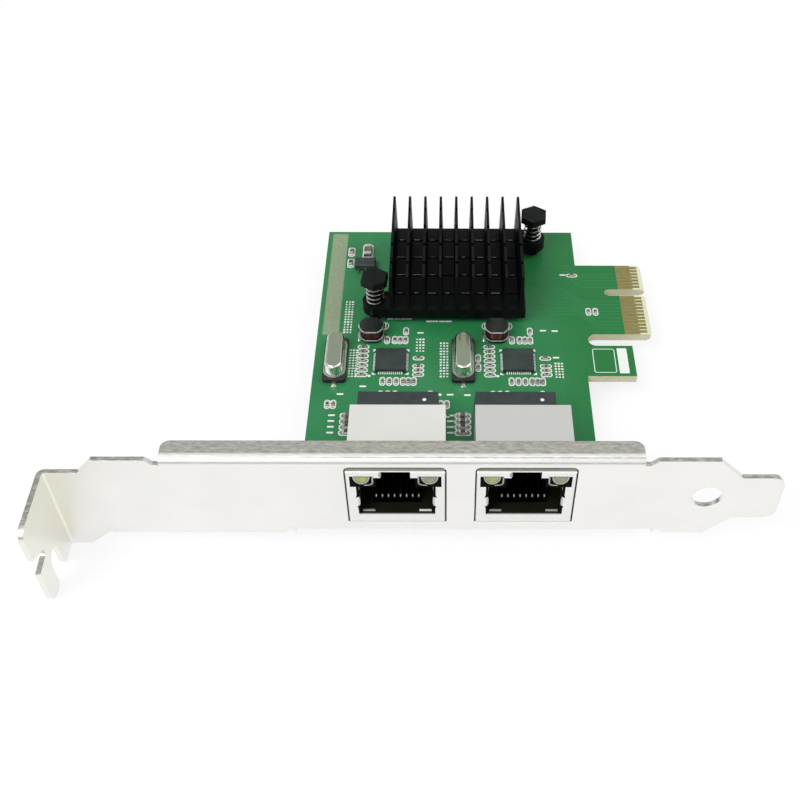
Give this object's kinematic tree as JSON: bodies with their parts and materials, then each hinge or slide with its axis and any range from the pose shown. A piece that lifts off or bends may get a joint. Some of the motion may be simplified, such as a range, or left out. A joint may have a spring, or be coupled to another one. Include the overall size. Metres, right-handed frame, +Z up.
{
  "type": "network interface card",
  "caption": "Expansion card with a full-height slot bracket, shielded modular jacks, a sprung pin-fin heat sink and a single-lane edge connector.",
  "frame": {"origin": "on the bracket's outer face, midway between the two jacks and midway across the bracket's width", "axes": "+X along the bracket from screw tab to tongue, +Y from the bracket's outer face into the card, +Z up from the component side of the board"},
  "size_m": [0.12, 0.0916, 0.0215],
  "materials": {
    "board": "solder mask over glass laminate",
    "gold": "gold plate",
    "bracket_steel": "satin nickel plate",
    "screw_steel": "nickel plate",
    "black_anodised": "black anodised, satin",
    "thermal_pad": "soft filled silicone",
    "chip_black": "moulded epoxy",
    "tin": "tin plate",
    "pin_nylon": "black nylon",
    "spring_wire": "bright wire",
    "transformer_black": "moulded epoxy",
    "base_black": "moulded plastic",
    "can_nickel": "drawn can, nickel plate",
    "ferrite": "ground ferrite",
    "copper_wire": "enamelled copper",
    "shield_steel": "nickel plated sheet",
    "jack_black": "moulded plastic",
    "light_green": "clear tinted plastic",
    "light_clear": "clear tinted plastic",
    "resistor_black": "glazed film on ceramic",
    "capacitor_tan": "fired ceramic",
    "chip_grey": "moulded epoxy"
  },
  "bodies": {
    "root": {"circuit_board": "board", "edge_contacts": "gold", "bracket": "bracket_steel", "bracket_screws": "screw_steel", "heatsink": "black_anodised", "thermal_pad": "thermal_pad", "switch_chip": "chip_black", "lan_chip_1": "chip_black", "lan_chip_2": "chip_black", "switch_chip_pads": "tin", "lan_chip_pads_1": "tin", "lan_chip_pads_2": "tin", "push_pins": "pin_nylon", "pin_springs": "spring_wire", "transformer_1": "transformer_black", "transformer_2": "transformer_black", "transformer_leads_1": "tin", "transformer_leads_2": "tin", "crystal_base_1": "base_black", "crystal_base_2": "base_black", "crystal_can_1": "can_nickel", "crystal_can_2": "can_nickel", "crystal_leads_1": "tin", "crystal_leads_2": "tin", "inductor_core_1": "ferrite", "inductor_core_2": "ferrite", "inductor_winding_1": "copper_wire", "inductor_winding_2": "copper_wire", "inductor_terminals_1": "tin", "inductor_terminals_2": "tin", "jack_shield_1": "shield_steel", "jack_shield_2": "shield_steel", "jack_housing_1": "jack_black", "jack_housing_2": "jack_black", "jack_contacts_1": "gold", "jack_contacts_2": "gold", "left_lights": "light_green", "right_lights": "light_clear", "resistors": "resistor_black", "capacitors": "capacitor_tan", "end_caps": "tin", "regulator": "chip_grey", "regulator_leads": "tin"}
  },
  "joints": []
}
